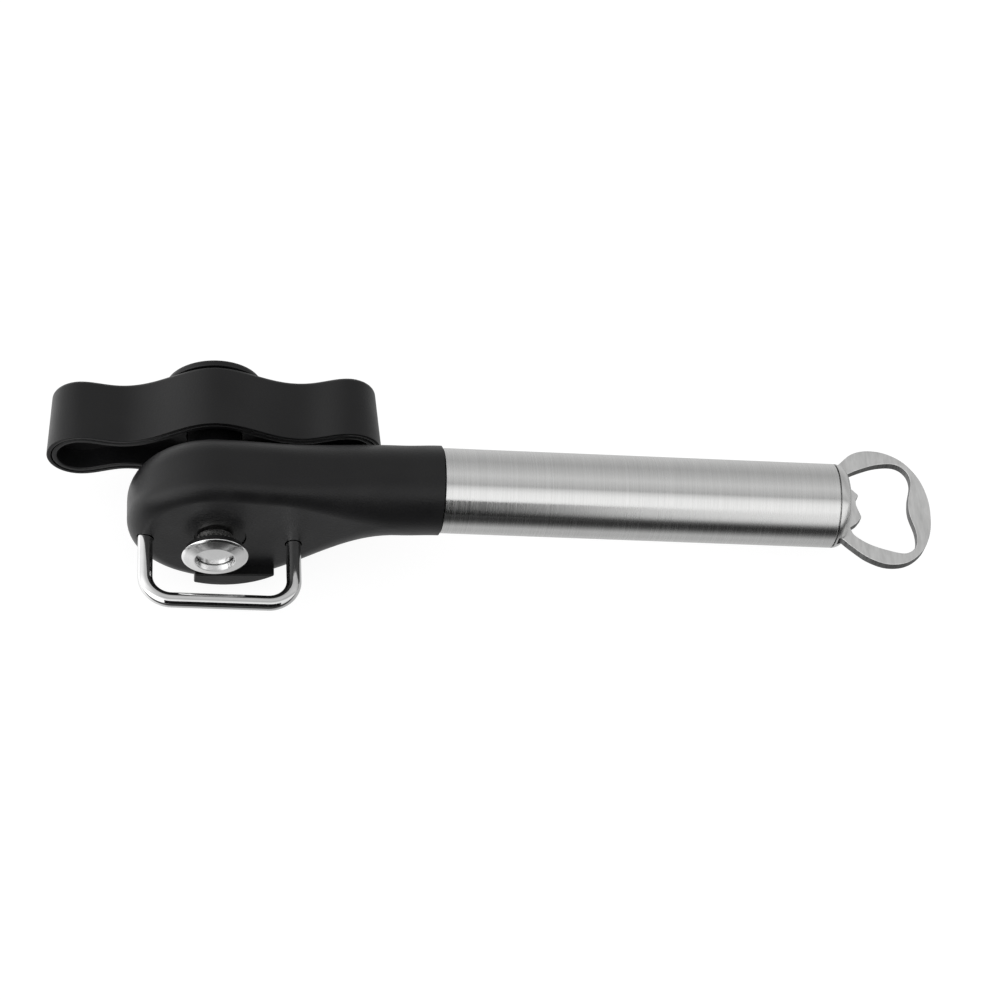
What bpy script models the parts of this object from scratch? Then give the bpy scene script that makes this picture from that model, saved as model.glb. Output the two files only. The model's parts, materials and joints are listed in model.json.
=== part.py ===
"""Manual side-cutting can opener: knob, round head, steel tube handle and flat bottle opener.

The opener is drawn in its own tool frame and every length below is in millimetres:
    X runs along the handle's axis, from the head to the bottle opener,
    Y runs along the spindle, from the cutting disc up to the turning knob,
    Z points to the side of the head that is flush with the handle.
Everything hangs on one empty that lays the finished tool on a table, on its round head
and the end of its handle, with the middle of its bounding box over the world's origin.
"""

import math

import bmesh
import bpy
from mathutils import Matrix, Vector

MM = 0.001
GAP = 0.3
SIDES = 40

# Head: a round body on the spindle that runs into a round neck on the handle.
SPINDLE_X = 0.4
SPINDLE_Z = -7.8
SPINDLE = (SPINDLE_X, 0.0, SPINDLE_Z)
HEAD_R = 20.5
FAR_R = 23.7
FAR_START = math.radians(221.0)
FAR_END = math.radians(300.0)
HEAD_TOP = 7.5
HEAD_BOTTOM = -10.8
HEAD_TOP_ROUND = 8.3
HEAD_BOTTOM_ROUND = 5.0
NECK_R = 10.8
NECK_SAG = 0.65
NECK_START_X = 44.0
COLLAR_X = 53.7
BLEND_START_X = 14.0
FAR_X = (FAR_R - HEAD_R) * -math.cos(FAR_START)
FAR_Z = SPINDLE_Z + (FAR_R - HEAD_R) * -math.sin(FAR_START)

# Handle: a thin tube over the head's spigot, closed by a domed end cap.
TUBE_R = 10.25
TUBE_WALL = 0.8
TUBE_END_X = 150.3
SPIGOT_END_X = 78.0
CORE_R = 6.5
CORE_START_X = 24.0
CAP_ROUND = 3.0
CAP_END_X = 153.6
CAP_SKIRT_X = 146.0
CAP_MOUTH_X = 151.0

# Bottle opener: one flat plate with a tang that is pinned inside the handle.
PLATE_T = 2.2
OPENER_TIP_X = 175.0
SHOULDER_Y = 9.4
TANG_WIDTH = 12.0
TANG_END_X = 134.0
PLUG_X = (132.0, 145.7)
PIN_X = 139.5
PIN_R = 1.5

# Spindle: levels along Y of what turns with the knob.
SHAFT_R = 3.0
JOURNAL_R = 2.4
JOURNAL_TOP = -11.0
JOURNAL_BOTTOM = -15.0
SHAFT_TOP = 7.5
HEX_R = 2.7
HEX_TOP = 21.5
SCREW_BORE_R = 1.6
SCREW_BORE_BOTTOM = 13.4
WHEEL_R = 5.4
TOOTH_DEPTH = 0.5
TEETH = 30
WHEEL_Y = (-14.1, -12.6)
SPACER_R = 4.4
SPACER_Y = (-12.3, -11.1)
DISC_R = 7.95
DISC_TOP = (7.2, -14.4)
DISC_EDGE_Y = -16.1
DISC_BEVEL = (7.35, -16.5)
DISC_HUB = (5.05, -17.2)
DISH_R = 4.75
DISH_FLOOR_R = 4.5
DISH_FLOOR = -15.0
RIVET_R = 4.2
RIVET_Y = (-15.7, -15.3)
RIVET_EDGE = 0.15
SHANK_R = 1.2
SHANK_TOP = -12.9
WASHER_R = 6.0
WASHER_Y = (6.9, 7.55)

# Eccentric bush: turning it swings the spindle towards the counter roller.
THROW = 1.3
BUSH_R = 6.0
BUSH_Y = (-10.4, 6.3)
FLANGE_R = 8.7
FLANGE_Y = (-6.7, -5.2)
CAVITY_R = 9.2
CAVITY_FLOOR = -7.0
STOP_RADIUS = 7.9
STOP_ANGLE = math.radians(150.0)
STOP_R = 0.9
CLAMP_TURN = math.radians(90.0)
SPRING_R = 7.6
SPRING_WIRE_R = 0.45
SPRING_TURNS = 4
BUSH_X = SPINDLE_X + THROW

# Cover plate under the knob and its three screws.
COVER_R = 13.6
COVER_Y = (4.2, 6.6)
SCREW_CIRCLE_R = 11.6
SCREW_COUNT = 3

# Counter roller and fence, which hold the can's rim against the feed wheel.
ROLLER_R = 2.3
ROLLER_GAP = 0.5
ROLLER_Y = (-12.9, -11.2)
FENCE_BOTTOM = -13.5
FENCE_OUTER_R = 19.6
FENCE_X = (-3.4, 15.6)
FENCE_WALL_Z = (-21.0, -19.6)

# Wire bail that hangs round the cutting disc.
WIRE_R = 1.8
BAIL_X = (-16.0, 19.3)
BAIL_Z = -9.5
BAIL_BAR_Y = -27.4
BAIL_TOP_Y = -4.6
BAIL_BEND_R = 6.3

# Turning knob: a hollow shell with a wide hub, two waists and two round ends, and the liner
# that closes it from below.
KNOB_BOTTOM = 12.9
KNOB_TOP = 30.4
KNOB_HALF = 40.4
KNOB_HUB = 13.6
KNOB_WAIST = 6.2
KNOB_WAIST_S = 21.5
KNOB_END = 8.2
KNOB_DRAFT = 1.2
KNOB_TOP_ROUND = 1.4
KNOB_ROOF = 2.3
KNOB_WALL = 1.0
KNOB_LIP = 0.3
LINER_WALL = 1.2
LINER_FLOOR = 17.9
KNOB_BOSS_R = 6.5
KNOB_BOSS_BOTTOM = 7.85
KNOB_YAW = math.radians(-5.6)
POCKET_R = 4.4
POCKET_FLOOR = 23.8
KNOB_WASHER_R = 3.9
KNOB_WASHER_Y = (24.1, 24.7)
CAP_R = 12.0
CAP_Y = (30.7, 32.5)
CAP_EDGE = 0.5
CAP_STEM_BOTTOM = 27.4

# Screws, from the middle of the head down to the tip, as (radius, height).
COVER_SCREW_PROFILE = [(0, 6.4), (1.3, 6.4), (1.8, 6.0), (1.8, 5.5), (0.7, 5.5), (0.7, -0.8), (0.0, -1.4)]
KNOB_SCREW_PROFILE = [(0, 26.9), (2.2, 26.9), (2.9, 26.3), (2.9, 25.0), (1.3, 25.0), (1.3, 15.0),
                      (0.7, 14.2), (0, 14.2)]

BLACK = (0.022, 0.022, 0.024)
STEEL = (0.55, 0.55, 0.54)
CHROME = (0.80, 0.80, 0.80)
NYLON = (0.75, 0.74, 0.70)


def clear_scene():
    for obj in list(bpy.data.objects):
        bpy.data.objects.remove(obj, do_unlink=True)


def new_collection(name):
    group = bpy.data.collections.new(name)
    bpy.context.scene.collection.children.link(group)
    return group


def make_material(name, colour, roughness, metallic):
    mat = bpy.data.materials.new(name)
    mat.use_nodes = True
    shader = mat.node_tree.nodes["Principled BSDF"]
    shader.inputs["Base Color"].default_value = (*colour, 1.0)
    shader.inputs["Roughness"].default_value = roughness
    shader.inputs["Metallic"].default_value = metallic
    return mat


def place(obj, at, parent):
    """Hang an object on a parent with its origin at a point given in millimetres."""
    obj.location = Vector(at) * MM
    obj.parent = parent
    return obj


def add_mesh(name, mesh, look, group, parent, at=(0.0, 0.0, 0.0)):
    obj = bpy.data.objects.new(name, mesh)
    group.objects.link(obj)
    if look:
        mesh.materials.append(make_material(name, *look))
    return place(obj, at, parent)


def finish_mesh(name, work, weld=1e-7):
    """Turn a bmesh into a mesh whose faces look out and whose round sides look smooth."""
    bmesh.ops.remove_doubles(work, verts=work.verts, dist=weld)
    bmesh.ops.recalc_face_normals(work, faces=work.faces)
    mesh = bpy.data.meshes.new(name)
    work.to_mesh(mesh)
    work.free()
    mesh.shade_smooth()
    mesh.set_sharp_from_angle(angle=math.radians(35.0))
    return mesh


# The quarter turns that bring a shape's own Z axis onto the tool's Y or X axis.
ALONG_Y = Matrix.Rotation(math.radians(-90.0), 4, "X")
ALONG_X = Matrix.Rotation(math.radians(90.0), 4, "Y")


class Maker:
    """Makes named pieces and hidden cutters in the tool frame."""

    def __init__(self):
        self.parts = new_collection("can_opener")
        self.cutters = new_collection("cutters")
        self.pose = bpy.data.objects.new("lying_pose", None)
        self.parts.objects.link(self.pose)

    def piece(self, name, mesh, look, at):
        return add_mesh(name, mesh, look, self.parts, self.pose, at)

    def turned(self, name, profile, look, at=(0.0, 0.0, 0.0), along=ALONG_Y, sides=SIDES):
        """A turned piece: profile points are (radius, height), outer side top to bottom.

        A profile that starts and ends at radius 0 makes a solid; any other is closed to a ring.
        """
        work = bmesh.new()
        points = [work.verts.new((r * MM, 0.0, h * MM)) for r, h in profile]
        solid = profile[0][0] == 0.0
        for first, second in zip(points, points[1:]):
            work.edges.new((first, second))
        if not solid:
            work.edges.new((points[-1], points[0]))
        mesh = bpy.data.meshes.new(name)
        work.to_mesh(mesh)
        work.free()
        obj = self.piece(name, mesh, look, at)
        obj.rotation_euler = along.to_euler()
        screw = obj.modifiers.new("turn", "SCREW")
        screw.steps = sides
        screw.render_steps = sides
        screw.use_merge_vertices = True
        screw.merge_threshold = 1e-6
        screw.use_smooth_shade = True
        return obj

    def cut(self, target, mesh, at=(0.0, 0.0, 0.0), along=None, name="cut"):
        """Take a hidden mesh away from a piece."""
        return self.boolean(target, mesh, "DIFFERENCE", at, along, name)

    def join(self, target, mesh, at=(0.0, 0.0, 0.0), along=None, name="join"):
        """Add a hidden mesh to a piece."""
        return self.boolean(target, mesh, "UNION", at, along, name)

    def boolean(self, target, mesh, operation, at, along, name):
        tool = add_mesh(f"{target.name}_{name}", mesh, None, self.cutters, self.pose, at)
        if along:
            tool.rotation_euler = along.to_euler()
        tool.hide_render = True
        tool.display_type = "WIRE"
        step = target.modifiers.new(name, "BOOLEAN")
        step.operation = operation
        step.solver = "EXACT"
        step.object = tool
        return tool


def rod(radius, low, high, sides=SIDES):
    """A cylinder mesh about its own Z axis between two heights."""
    work = bmesh.new()
    move = Matrix.Translation((0.0, 0.0, 0.5 * (low + high) * MM))
    bmesh.ops.create_cone(work, cap_ends=True, segments=sides, radius1=radius * MM,
                          radius2=radius * MM, depth=(high - low) * MM, matrix=move)
    return finish_mesh("rod", work)


def block(low, high):
    """A box mesh between two corners."""
    low, high = Vector(low) * MM, Vector(high) * MM
    size = high - low
    work = bmesh.new()
    shape = Matrix.Translation((low + high) / 2.0) @ Matrix.Diagonal((*size, 1.0))
    bmesh.ops.create_cube(work, size=1.0, matrix=shape)
    return finish_mesh("block", work)


def flat_plate(name, outlines, thickness):
    """A flat outline with its holes, as a filled 2D curve made into a closed mesh."""
    curve = bpy.data.curves.new(name, "CURVE")
    curve.dimensions = "2D"
    curve.fill_mode = "BOTH"
    curve.extrude = 0.5 * thickness * MM
    for outline in outlines:
        spline = curve.splines.new("POLY")
        spline.points.add(len(outline) - 1)
        for point, (x, y) in zip(spline.points, outline):
            point.co = (x * MM, y * MM, 0.0, 1.0)
        spline.use_cyclic_u = True
    return curve_to_mesh(name, curve)


def curve_to_mesh(name, curve):
    """The closed mesh of a curve object, with its loose caps welded on."""
    holder = bpy.data.objects.new(name + "_curve", curve)
    bpy.context.scene.collection.objects.link(holder)
    bpy.context.view_layer.update()
    graph = bpy.context.evaluated_depsgraph_get()
    raw = bpy.data.meshes.new_from_object(holder.evaluated_get(graph))
    bpy.data.objects.remove(holder, do_unlink=True)
    work = bmesh.new()
    work.from_mesh(raw)
    bpy.data.meshes.remove(raw)
    return finish_mesh(name, work, weld=1e-6)


def wire_mesh(name, points, radius, resolution):
    """A round wire through points given in millimetres, with closed ends."""
    curve = bpy.data.curves.new(name, "CURVE")
    curve.dimensions = "3D"
    curve.bevel_depth = radius * MM
    curve.bevel_resolution = resolution
    curve.use_fill_caps = True
    spline = curve.splines.new("POLY")
    spline.points.add(len(points) - 1)
    for point, place_at in zip(spline.points, points):
        point.co = (*(Vector(place_at) * MM), 1.0)
    return curve_to_mesh(name, curve)


def arc(centre, radius, start, end, count):
    """Points on an arc in a plane, from one angle to another."""
    angles = [start + (end - start) * i / count for i in range(count + 1)]
    return [(centre[0] + radius * math.cos(a), centre[1] + radius * math.sin(a)) for a in angles]


def smooth_step(t):
    t = min(max(t, 0.0), 1.0)
    return t * t * (3.0 - 2.0 * t)


def hermite(t, start, start_slope, end, end_slope):
    return (start * (2 * t**3 - 3 * t**2 + 1) + start_slope * (t**3 - 2 * t**2 + t)
            + end * (3 * t**2 - 2 * t**3) + end_slope * (t**3 - t**2))


# ---- head ---------------------------------------------------------------------------------


def neck_centre(x):
    """The neck leaves the handle's axis a little on its way to the head."""
    return -NECK_SAG * smooth_step((COLLAR_X - x) / (COLLAR_X - NECK_START_X))


def near_side(x):
    """How far the flush side of the head lies from the handle's axis."""
    far_from_neck = smooth_step((NECK_START_X - x) / NECK_START_X)
    return neck_centre(x) + NECK_R + (SPINDLE_Z + HEAD_R + NECK_SAG - NECK_R) * far_from_neck


def flare_side(x):
    """The hollow curve that leads from the round of the head to the far side of the neck."""
    if x >= NECK_START_X:
        return neck_centre(x) - NECK_R
    start_x = FAR_X + FAR_R * math.cos(FAR_END)
    start_z = FAR_Z + FAR_R * math.sin(FAR_END)
    length = NECK_START_X - start_x
    start_slope = -length / math.tan(FAR_END)
    return hermite((x - start_x) / length, start_z, start_slope, -NECK_R - NECK_SAG, 0.0)


def plan_stations():
    """Pairs of plan points (near side, far side) from the collar to the head's left tip."""
    start_x = FAR_X + FAR_R * math.cos(FAR_END)
    neck_x = [COLLAR_X, 51.0, 47.5, NECK_START_X]
    flare_x = [NECK_START_X + (start_x - NECK_START_X) * i / 9 for i in range(1, 10)]
    pairs = [((x, near_side(x)), (x, flare_side(x))) for x in neck_x + flare_x]
    straight = [(start_x * (1 - i / 3), near_side(start_x * (1 - i / 3))) for i in range(1, 4)]
    near_arc = arc((0, SPINDLE_Z), HEAD_R, math.pi / 2, math.pi, 10)[1:]
    far_arc = arc((FAR_X, FAR_Z), FAR_R, FAR_END, FAR_START, 9)[1:]
    tip_arc = arc((0, SPINDLE_Z), HEAD_R, FAR_START, math.pi, 4)[1:]
    return pairs + list(zip(straight + near_arc, far_arc + tip_arc))


def head_profile(count):
    """(inset, height) from the middle of the bottom face round the side to the top face."""
    low = HEAD_BOTTOM + HEAD_BOTTOM_ROUND
    high = HEAD_TOP - HEAD_TOP_ROUND
    points = []
    for inset, height in arc((HEAD_BOTTOM_ROUND, low), HEAD_BOTTOM_ROUND, -math.pi / 2, -math.pi, count):
        points.append((inset, height))
    for inset, height in arc((HEAD_TOP_ROUND, high), HEAD_TOP_ROUND, math.pi, math.pi / 2, count):
        points.append((inset, height))
    return points


def neck_profile(count):
    """The same points on a round neck: the inset is measured from its widest place."""
    steps = 2 * count + 1
    angles = [-math.pi / 2 + math.pi * i / steps for i in range(steps + 1)]
    return [(NECK_R - NECK_R * math.cos(a), NECK_R * math.sin(a)) for a in angles]


def head_columns(pairs, count=6):
    """For each side of each pair, the column of 3D points from the bottom to the top."""
    outline = [near for near, far in pairs] + [far for near, far in reversed(pairs[:-1])]
    total = len(outline)
    head = head_profile(count)
    columns = []
    for i, (x, z) in enumerate(outline):
        before, after = outline[max(i - 1, 0)], outline[min(i + 1, total - 1)]
        along = Vector((after[0] - before[0], after[1] - before[1])).normalized()
        inward = Vector((-along.y, along.x))
        if i == 0:
            inward = Vector((0.0, -1.0))
        if i == total - 1:
            inward = Vector((0.0, 1.0))
        neck_part = smooth_step((x - BLEND_START_X) / (NECK_START_X - BLEND_START_X))
        if neck_part == 1.0:
            inward = Vector((0.0, -math.copysign(1.0, z)))
        column = []
        for (inset_h, y_h), (inset_n, y_n) in zip(head, neck_profile(count)):
            inset = inset_h + (inset_n - inset_h) * neck_part
            y = y_h + (y_n - y_h) * neck_part
            column.append((x + inward.x * inset, y, z + inward.y * inset))
        columns.append(column)
    return columns


def head_shell():
    """The outer skin of head and neck, lofted between the round head and the round neck."""
    pairs = plan_stations()
    columns = head_columns(pairs)
    work = bmesh.new()
    grid = [[work.verts.new(Vector(p) * MM) for p in column] for column in columns]
    last = len(grid) - 1
    top = len(grid[0]) - 1
    for left, right in zip(grid, grid[1:]):
        for j in range(top):
            work.faces.new((left[j], right[j], right[j + 1], left[j + 1]))
    for level in (0, top):
        for i in range(len(pairs) - 2):
            work.faces.new((grid[i][level], grid[i + 1][level],
                            grid[last - i - 1][level], grid[last - i][level]))
        tip = len(pairs) - 2
        work.faces.new((grid[tip][level], grid[tip + 1][level], grid[tip + 2][level]))
    work.faces.new(grid[0] + grid[last][::-1])
    bmesh.ops.remove_doubles(work, verts=work.verts, dist=2e-5)
    bmesh.ops.dissolve_degenerate(work, edges=work.edges, dist=1e-6)
    return finish_mesh("head_housing", work)


def fence_outline():
    """Plan of the fence: its outer edge follows the head, its straight wall faces the disc."""
    def angle_at(x):
        return -math.acos((x - FAR_X) / FENCE_OUTER_R)
    left, right = FENCE_X
    outer = arc((FAR_X, FAR_Z), FENCE_OUTER_R, angle_at(left), angle_at(right), 8)
    return outer + [(right, FENCE_WALL_Z[1]), (left, FENCE_WALL_Z[0])]


def plan_prism(name, outline, low, high):
    """An outline drawn as (x, z) in the tool frame, made into a prism between two levels of Y."""
    mesh = flat_plate(name, [[(x, -z) for x, z in outline]], high - low)
    mesh.transform(ALONG_Y @ Matrix.Translation((0.0, 0.0, 0.5 * (low + high) * MM)))
    return mesh


def bush_centre(y=0.0):
    return (BUSH_X, y, SPINDLE_Z)


def cover_screw_places():
    places = []
    for i in range(SCREW_COUNT):
        angle = math.pi / 2 + 2 * math.pi * i / SCREW_COUNT
        places.append((BUSH_X + SCREW_CIRCLE_R * math.cos(angle), 0.0,
                       SPINDLE_Z + SCREW_CIRCLE_R * math.sin(angle)))
    return places


def roller_centre():
    """Where the roller sits so that the clamped feed wheel stops just short of it."""
    closed_z = SPINDLE_Z - THROW
    return (BUSH_X, 0.0, closed_z - WHEEL_R - ROLLER_GAP - ROLLER_R)


def stop_place(turn=0.0):
    """The stop pin's place on the bush's circle, seen from the bush's rest position."""
    angle = STOP_ANGLE + turn
    return (BUSH_X + STOP_RADIUS * math.cos(angle), 0.0, SPINDLE_Z + STOP_RADIUS * math.sin(angle))


def build_head(make):
    head = make.piece("head_housing", head_shell(), (BLACK, 0.45, 0.0), (0, 0, 0))
    spigot_r = TUBE_R - TUBE_WALL - GAP
    make.join(head, rod(spigot_r, COLLAR_X - 4.0, SPIGOT_END_X), along=ALONG_X, name="spigot")
    fence = plan_prism("fence", fence_outline(), FENCE_BOTTOM, HEAD_BOTTOM + 1.5)
    make.join(head, fence, name="fence")
    make.cut(head, rod(CORE_R, CORE_START_X, SPIGOT_END_X + 2.0), along=ALONG_X, name="core")
    centre = bush_centre()
    make.cut(head, rod(CAVITY_R, CAVITY_FLOOR, HEAD_TOP + 2.0), centre, ALONG_Y, "cavity")
    make.cut(head, rod(COVER_R + GAP, COVER_Y[0] - GAP, HEAD_TOP + 2.0), centre, ALONG_Y, "recess")
    make.cut(head, rod(BUSH_R + 0.2, HEAD_BOTTOM - 2.0, CAVITY_FLOOR + 2.0), centre, ALONG_Y, "bore")
    for i, x in enumerate(BAIL_X):
        socket = rod(WIRE_R + GAP, HEAD_BOTTOM - 3.0, BAIL_TOP_Y + GAP, 20)
        make.cut(head, socket, (x, 0, BAIL_Z), ALONG_Y, f"socket_{i}")
    for i, at in enumerate(cover_screw_places()):
        make.cut(head, rod(1.0, -2.0, COVER_Y[0] + 1.0, 12), at, ALONG_Y, f"pilot_{i}")
    make.cut(head, rod(1.3, HEAD_BOTTOM - 1.0, -8.2, 16), roller_centre(), ALONG_Y, "stud_hole")
    make.cut(head, rod(STOP_R + GAP, -9.6, CAVITY_FLOOR + 1.0, 12), stop_place(), ALONG_Y, "stop_hole")
    return head


def build_cover(make):
    low, high = COVER_Y
    bore = BUSH_R + 0.2
    profile = [(COVER_R, high - 0.4), (COVER_R, low), (bore, low), (bore, high), (COVER_R - 0.4, high)]
    cover = make.turned("head_cover", profile, (BLACK, 0.5, 0.0), bush_centre())
    for i, at in enumerate(cover_screw_places()):
        make.cut(cover, rod(1.1, low - 1.0, high + 1.0, 12), at, ALONG_Y, f"hole_{i}")
        make.cut(cover, rod(2.1, 5.2, high + 1.0, 16), at, ALONG_Y, f"seat_{i}")
        screw = make.turned(f"cover_screw_{i + 1}", COVER_SCREW_PROFILE, (STEEL, 0.3, 1.0), at, sides=16)
        make.cut(screw, block((-2.5, -0.25, 6.0), (2.5, 0.25, 7.0)), at, ALONG_Y, "slot")


def build_roller(make):
    at = roller_centre()
    low, high = ROLLER_Y
    make.turned("counter_roller", [(ROLLER_R, high), (ROLLER_R, low), (1.25, low), (1.25, high)],
                (STEEL, 0.3, 1.0), at, sides=28)
    make.turned("roller_stud", [(0, -8.5), (1.0, -8.5), (1.0, low - GAP), (1.6, low - GAP),
                (1.6, -13.5), (0, -13.5)], (STEEL, 0.35, 1.0), at, sides=16)


def build_bail(make):
    """A square-cornered loop of wire whose two legs go up into blind holes in the head."""
    left, right = BAIL_X
    bend = BAIL_BEND_R
    low = BAIL_BAR_Y
    route = [(left, BAIL_TOP_Y)]
    route += arc((left + bend, low + bend), bend, math.pi, 1.5 * math.pi, 7)
    route += arc((right - bend, low + bend), bend, -0.5 * math.pi, 0.0, 7)
    route += [(right, BAIL_TOP_Y)]
    points = [(x - left, y, 0.0) for x, y in route]
    mesh = wire_mesh("guide_bail", points, WIRE_R, 3)
    make.piece("guide_bail", mesh, (CHROME, 0.1, 1.0), (left, 0, BAIL_Z))


# ---- eccentric bush -----------------------------------------------------------------------


def flange_outline():
    """The bush's flange, notched between the two places where it meets the stop pin."""
    play = math.asin((STOP_R + GAP) / STOP_RADIUS)
    first, last = STOP_ANGLE - CLAMP_TURN - play, STOP_ANGLE + play
    rim = arc((0, 0), FLANGE_R, last, first + 2 * math.pi, 30)
    root = arc((0, 0), BUSH_R + 0.45, first, last, 14)
    return rim + root


def build_bush(make):
    low, high = BUSH_Y
    bush = make.turned("eccentric_bush", [(0, high), (BUSH_R, high), (BUSH_R, low), (0, low)],
                       (BLACK, 0.4, 0.0), bush_centre())
    make.join(bush, plan_prism("flange", flange_outline(), *FLANGE_Y), bush_centre(), name="flange")
    make.cut(bush, rod(SHAFT_R + 0.2, low - 1.0, high + 1.0), SPINDLE, ALONG_Y, "shaft_bore")
    make.turned("stop_pin", [(0, -4.4), (STOP_R, -4.4), (STOP_R, -9.3), (0, -9.3)],
                (STEEL, 0.3, 1.0), stop_place(), sides=12)
    bottom = FLANGE_Y[1] + GAP + SPRING_WIRE_R
    top = COVER_Y[0] - GAP - SPRING_WIRE_R
    per_turn = 14
    coil = []
    for i in range(SPRING_TURNS * per_turn + 1):
        angle = 2 * math.pi * i / per_turn
        y = bottom + (top - bottom) * i / (SPRING_TURNS * per_turn)
        coil.append((SPRING_R * math.cos(angle), y, SPRING_R * math.sin(angle)))
    make.piece("bush_spring", wire_mesh("bush_spring", coil, SPRING_WIRE_R, 1),
               (STEEL, 0.3, 1.0), bush_centre())


# ---- spindle ------------------------------------------------------------------------------


def build_spindle(make):
    shaft = make.turned("drive_shaft", [(0, SHAFT_TOP), (SHAFT_R, SHAFT_TOP), (SHAFT_R, JOURNAL_TOP),
                        (JOURNAL_R, JOURNAL_TOP), (JOURNAL_R, JOURNAL_BOTTOM), (0, JOURNAL_BOTTOM)],
                        (STEEL, 0.3, 1.0), SPINDLE)
    make.join(shaft, rod(HEX_R, SHAFT_TOP - 1.0, HEX_TOP, 6), SPINDLE, ALONG_Y, "hex")
    make.cut(shaft, rod(SCREW_BORE_R, SCREW_BORE_BOTTOM, HEX_TOP + 1.0, 16), SPINDLE, ALONG_Y, "tapped_hole")
    rivet_hole = rod(SHANK_R + GAP, JOURNAL_BOTTOM - 1.0, SHANK_TOP + GAP, 16)
    make.cut(shaft, rivet_hole, SPINDLE, ALONG_Y, "rivet_hole")
    bore = JOURNAL_R + 0.2
    wheel = flat_plate("feed_wheel", [toothed_outline(), arc((0, 0), bore, 0, 2 * math.pi, 24)[:-1]],
                       WHEEL_Y[1] - WHEEL_Y[0])
    wheel.transform(ALONG_Y)
    make.piece("feed_wheel", wheel, (STEEL, 0.25, 1.0), (SPINDLE_X, sum(WHEEL_Y) / 2, SPINDLE_Z))
    low, high = SPACER_Y
    make.turned("wheel_spacer", [(SPACER_R, high), (SPACER_R, low), (bore, low), (bore, high)],
                (STEEL, 0.35, 1.0), SPINDLE, sides=32)
    high = DISC_TOP[1]
    make.turned("cutting_disc", [DISC_TOP, (DISC_R, DISC_EDGE_Y + 0.1), (DISC_R, DISC_EDGE_Y), DISC_BEVEL,
                DISC_HUB, (DISH_R, DISC_HUB[1]), (DISH_FLOOR_R, DISH_FLOOR), (bore, DISH_FLOOR), (bore, high)],
                (CHROME, 0.08, 1.0), SPINDLE)
    low, high = RIVET_Y
    make.turned("retaining_rivet", [(0, SHANK_TOP), (SHANK_R, SHANK_TOP), (SHANK_R, high), (RIVET_R, high),
                (RIVET_R, low + RIVET_EDGE), (RIVET_R - RIVET_EDGE, low), (0, low)],
                (CHROME, 0.08, 1.0), SPINDLE)
    low, high = WASHER_Y
    bore = SHAFT_R + GAP
    make.turned("thrust_washer", [(WASHER_R, high), (WASHER_R, low), (bore, low), (bore, high)],
                (STEEL, 0.35, 1.0), SPINDLE, sides=32)


def toothed_outline():
    """The knurled rim of the feed wheel: a ring of small flat-topped teeth."""
    points = []
    for i in range(TEETH):
        for share, radius in ((0.0, WHEEL_R - TOOTH_DEPTH), (0.3, WHEEL_R - TOOTH_DEPTH),
                              (0.5, WHEEL_R), (0.8, WHEEL_R)):
            angle = 2 * math.pi * (i + share) / TEETH
            points.append((radius * math.cos(angle), radius * math.sin(angle)))
    return points


# ---- knob ---------------------------------------------------------------------------------


def knob_half_width(s):
    """Half the width of the knob's open side at a distance s from its middle."""
    if s <= KNOB_WAIST_S:
        swell = 0.5 + 0.5 * math.cos(math.pi * s / KNOB_WAIST_S)
        return KNOB_WAIST + (KNOB_HUB - KNOB_WAIST) * swell
    end_s = KNOB_HALF - KNOB_END
    swell = 0.5 - 0.5 * math.cos(math.pi * (s - KNOB_WAIST_S) / (end_s - KNOB_WAIST_S))
    return KNOB_WAIST + (KNOB_END - KNOB_WAIST) * swell


def knob_outline(inset=0.0):
    """The knob's plan, pulled in on every side by an inset."""
    end_s = KNOB_HALF - KNOB_END
    side = [end_s * i / 14 for i in range(15)]
    quarter = [(s, knob_half_width(s)) for s in side]
    quarter += arc((end_s, 0.0), KNOB_END, math.pi / 2, 0.0, 6)[1:]
    right = quarter[1:]
    loop = quarter + [(s, -w) for s, w in reversed(right[:-1])] + [(0.0, -KNOB_HUB)]
    loop += [(-s, -w) for s, w in right] + [(-s, w) for s, w in reversed(right[:-1])]
    result = []
    for i, here in enumerate(loop):
        before, after = loop[i - 1], loop[(i + 1) % len(loop)]
        along = Vector((after[0] - before[0], after[1] - before[1])).normalized()
        result.append((here[0] + along.y * inset, here[1] - along.x * inset))
    return result


def stacked_loops(name, loops):
    """A closed skin through loops of equal length; the first and last are filled."""
    work = bmesh.new()
    rings = [[work.verts.new(Vector(p) * MM) for p in loop] for loop in loops]
    count = len(rings[0])
    for upper, lower in zip(rings, rings[1:]):
        for i in range(count):
            j = (i + 1) % count
            work.faces.new((upper[i], upper[j], lower[j], lower[i]))
    work.faces.new(rings[0])
    work.faces.new(rings[-1])
    return finish_mesh(name, work)


def knob_draft(y):
    """How far the knob's side has leaned in at a height."""
    return KNOB_DRAFT * (y - KNOB_BOTTOM) / (KNOB_TOP - KNOB_BOTTOM)


def knob_loops(name, levels):
    """A skin over the knob's plan, through (inset, height) levels."""
    loops = [[(x, y, -w) for x, w in knob_outline(knob_draft(y) + inset)] for inset, y in levels]
    return stacked_loops(name, loops)


def knob_shell():
    """The shell: over the rounded top edge, down the outside and up the inside."""
    round_centre = (KNOB_TOP_ROUND, KNOB_TOP - KNOB_TOP_ROUND)
    levels = arc(round_centre, KNOB_TOP_ROUND, math.pi / 2, math.pi, 3)
    levels += [(0.0, KNOB_BOTTOM + KNOB_LIP), (KNOB_LIP, KNOB_BOTTOM), (KNOB_WALL, KNOB_BOTTOM)]
    return knob_loops("knob_body", levels + [(KNOB_WALL, KNOB_TOP - KNOB_ROOF)])


def knob_liner():
    """The tray inside the shell: its rim is level with the shell's and its floor is set back."""
    outer = KNOB_WALL + GAP
    inner = outer + LINER_WALL
    levels = [(outer, LINER_FLOOR + LINER_WALL), (outer, KNOB_BOTTOM), (inner, KNOB_BOTTOM), (inner, LINER_FLOOR)]
    return knob_loops("knob_liner", levels)


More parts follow.
